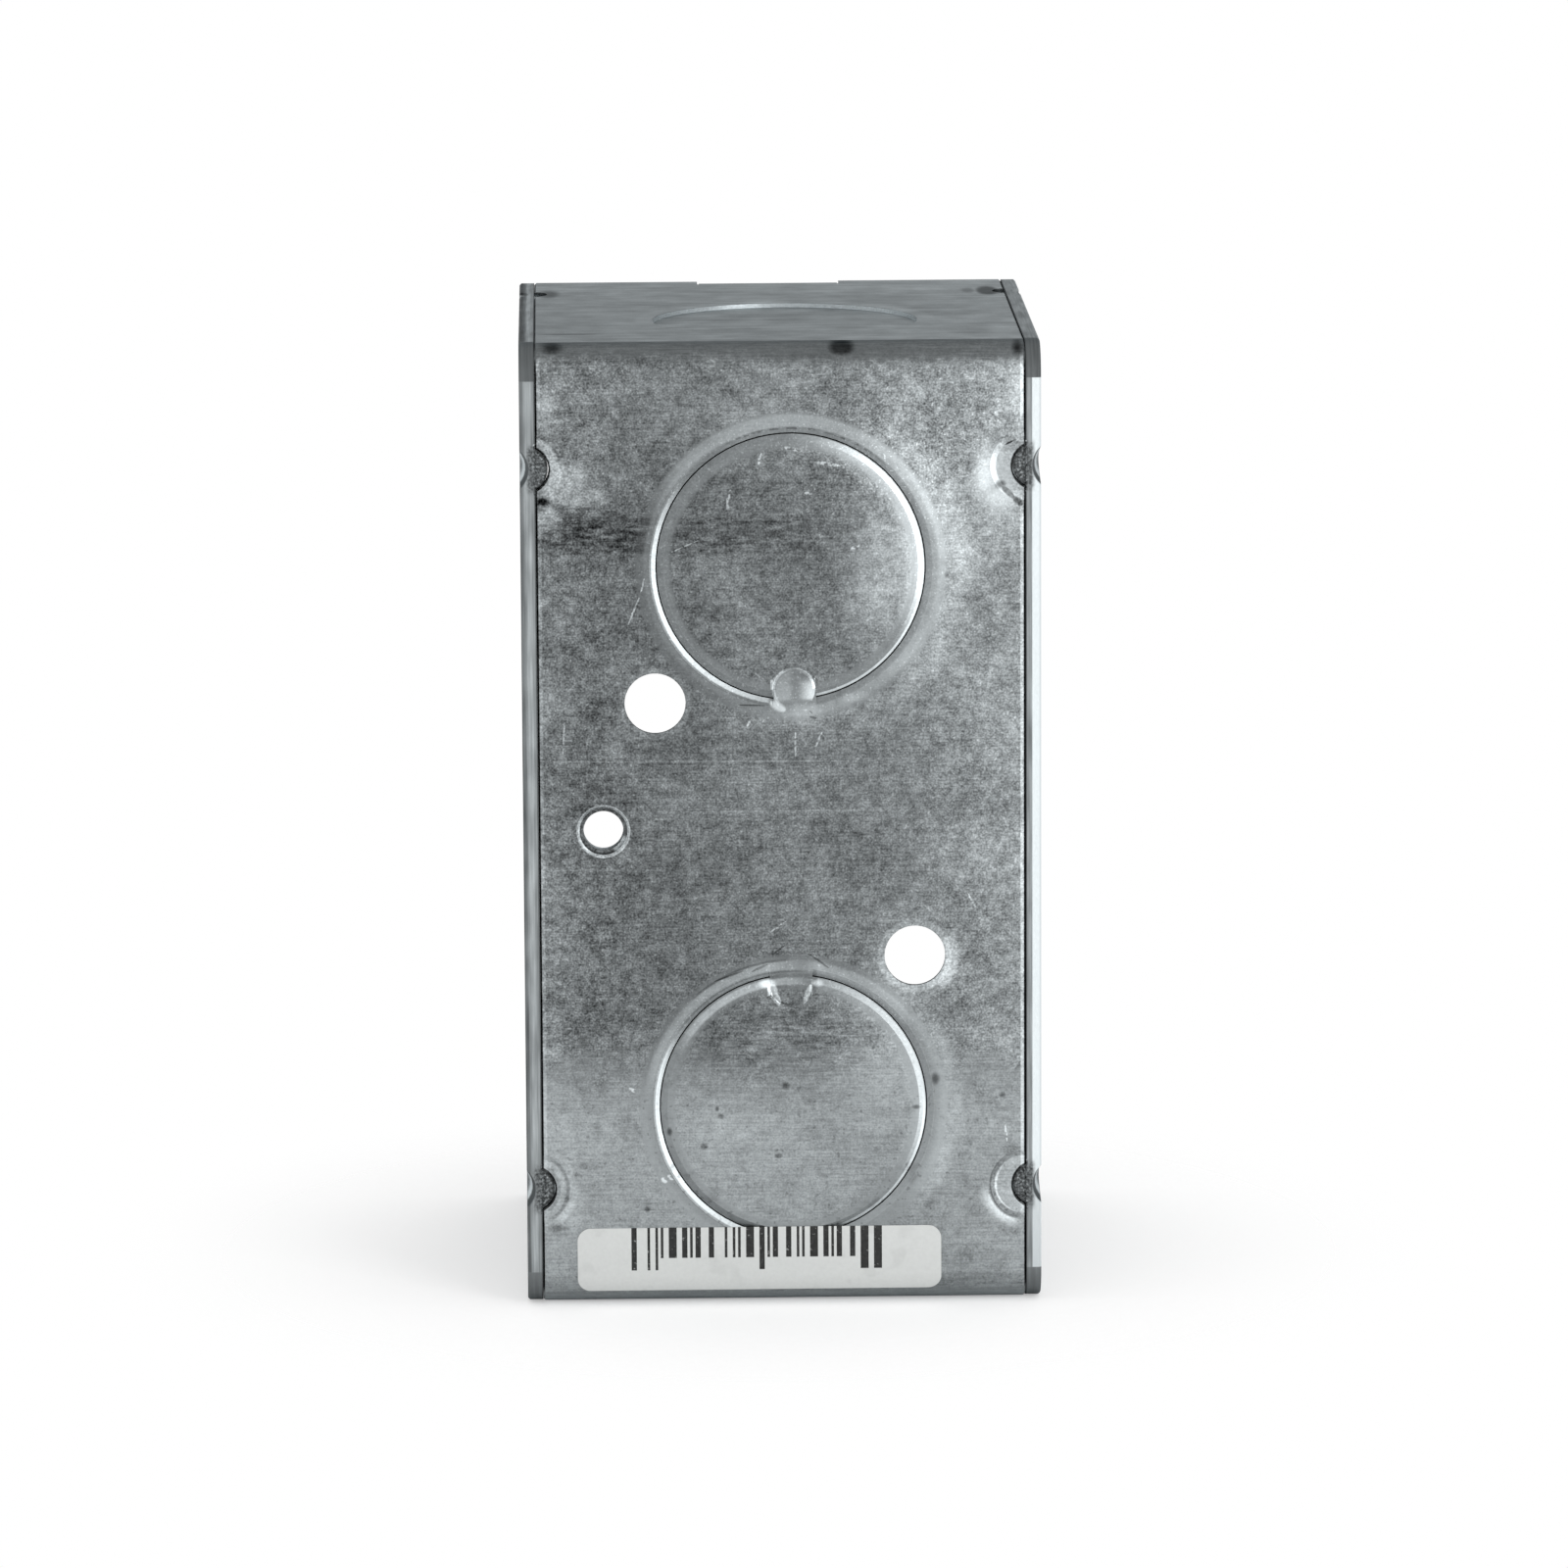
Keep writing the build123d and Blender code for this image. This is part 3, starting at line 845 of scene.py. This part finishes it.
def make_camera():
    """The photograph's camera."""
    data = bpy.data.cameras.new("camera")
    data.sensor_width = sensor_width
    data.lens = sensor_width * focal_pixels / image_size
    data.clip_start = 0.01
    data.clip_end = 10
    back = direction(camera_azimuth, camera_elevation)
    level = Vector((math.cos(camera_azimuth), math.sin(camera_azimuth), 0))
    upright = back.cross(level)
    across = math.cos(camera_roll) * level + math.sin(camera_roll) * upright
    up = -math.sin(camera_roll) * level + math.cos(camera_roll) * upright
    camera = bpy.data.objects.new("camera", data)
    turn = Matrix((across, up, back)).transposed().to_4x4()
    camera.matrix_world = Matrix.Translation(camera_target + back * camera_distance) @ turn
    bpy.context.scene.collection.objects.link(camera)
    bpy.context.scene.camera = camera


def make_floor():
    """A pale floor that fades into the white background."""
    half_size = 1.5
    drop = 0.0001
    mesh = bpy.data.meshes.new("floor")
    signs = ((-1, -1), (1, -1), (1, 1), (-1, 1))
    corners = [(half_size * x, half_size * y, -drop) for x, y in signs]
    mesh.from_pydata(corners, [], [(0, 1, 2, 3)])
    mesh.materials.append(floor_material())
    floor = bpy.data.objects.new("floor", mesh)
    bpy.context.scene.collection.objects.link(floor)


def floor_material():
    """Off-white near the box, lifted towards white for the camera, and clear further out."""
    floor_grey = 0.95
    camera_lift = 0.34
    fade_start, fade_end = 28, 76
    material, tree, output = new_material("pale_floor")
    place = Place(tree)
    diffuse = tree.nodes.new("ShaderNodeBsdfDiffuse")
    diffuse.inputs["Color"].default_value = (floor_grey, floor_grey, floor_grey, 1)
    path = tree.nodes.new("ShaderNodeLightPath")
    lift = tree.nodes.new("ShaderNodeEmission")
    to_camera = Signal(tree, path.outputs["Is Camera Ray"])
    plug(tree, to_camera * camera_lift, lift.inputs["Strength"])
    lit = tree.nodes.new("ShaderNodeAddShader")
    tree.links.new(diffuse.outputs[0], lit.inputs[0])
    tree.links.new(lift.outputs[0], lit.inputs[1])
    clear = tree.nodes.new("ShaderNodeBsdfTransparent")
    blend = tree.nodes.new("ShaderNodeMixShader")
    distance = reckon("LENGTH", reckon("MULTIPLY", place.point, (1, 1, 0)))
    plug(tree, fade(distance, fade_start, fade_end), blend.inputs[0])
    tree.links.new(lit.outputs[0], blend.inputs[1])
    tree.links.new(clear.outputs[0], blend.inputs[2])
    tree.links.new(blend.outputs[0], output.inputs["Surface"])
    return material


def make_world():
    """White to the camera and to reflections, and a soft even light otherwise."""
    soft_level = 0.66
    world = bpy.data.worlds.new("studio")
    bpy.context.scene.world = world
    world.use_nodes = True
    tree = world.node_tree
    tree.nodes.clear()
    path = tree.nodes.new("ShaderNodeLightPath")
    rays = ("Is Camera Ray", "Is Glossy Ray", "Is Transmission Ray")
    seen = gathered(Signal(tree, path.outputs[name]) for name in rays)
    background = tree.nodes.new("ShaderNodeBackground")
    background.inputs["Color"].default_value = (1, 1, 1, 1)
    plug(tree, soft_level + seen * (1 - soft_level), background.inputs["Strength"])
    output = tree.nodes.new("ShaderNodeOutputWorld")
    tree.links.new(background.outputs[0], output.inputs["Surface"])


def make_lamp(name, azimuth, elevation, distance, width, height, power):
    """A soft lamp aimed at the box's middle, placed as a camera view would be."""
    towards = direction(math.radians(azimuth), math.radians(elevation))
    data = bpy.data.lights.new(name, "AREA")
    data.shape = "RECTANGLE"
    data.size = width
    data.size_y = height
    data.energy = power
    lamp = bpy.data.objects.new(name, data)
    lamp.location = Vector((0, 0, middle_z / millimetres)) + towards * distance
    lamp.rotation_euler = towards.to_track_quat("Z", "Y").to_euler()
    bpy.context.scene.collection.objects.link(lamp)


dress("back_and_ends", steel("galvanized_strip", strip_surface))
for name, side in (("left", -1), ("right", 1)):
    dress("side_plate_" + name, steel("galvanized_plate_" + name, plate_surface(side)))
dress("barcode_label", label_material())

make_camera()
make_floor()
make_world()
make_lamp("side_box", azimuth=38, elevation=4, distance=1.0, width=0.4, height=1.1, power=5)
bpy.context.scene.view_settings.view_transform = "Standard"
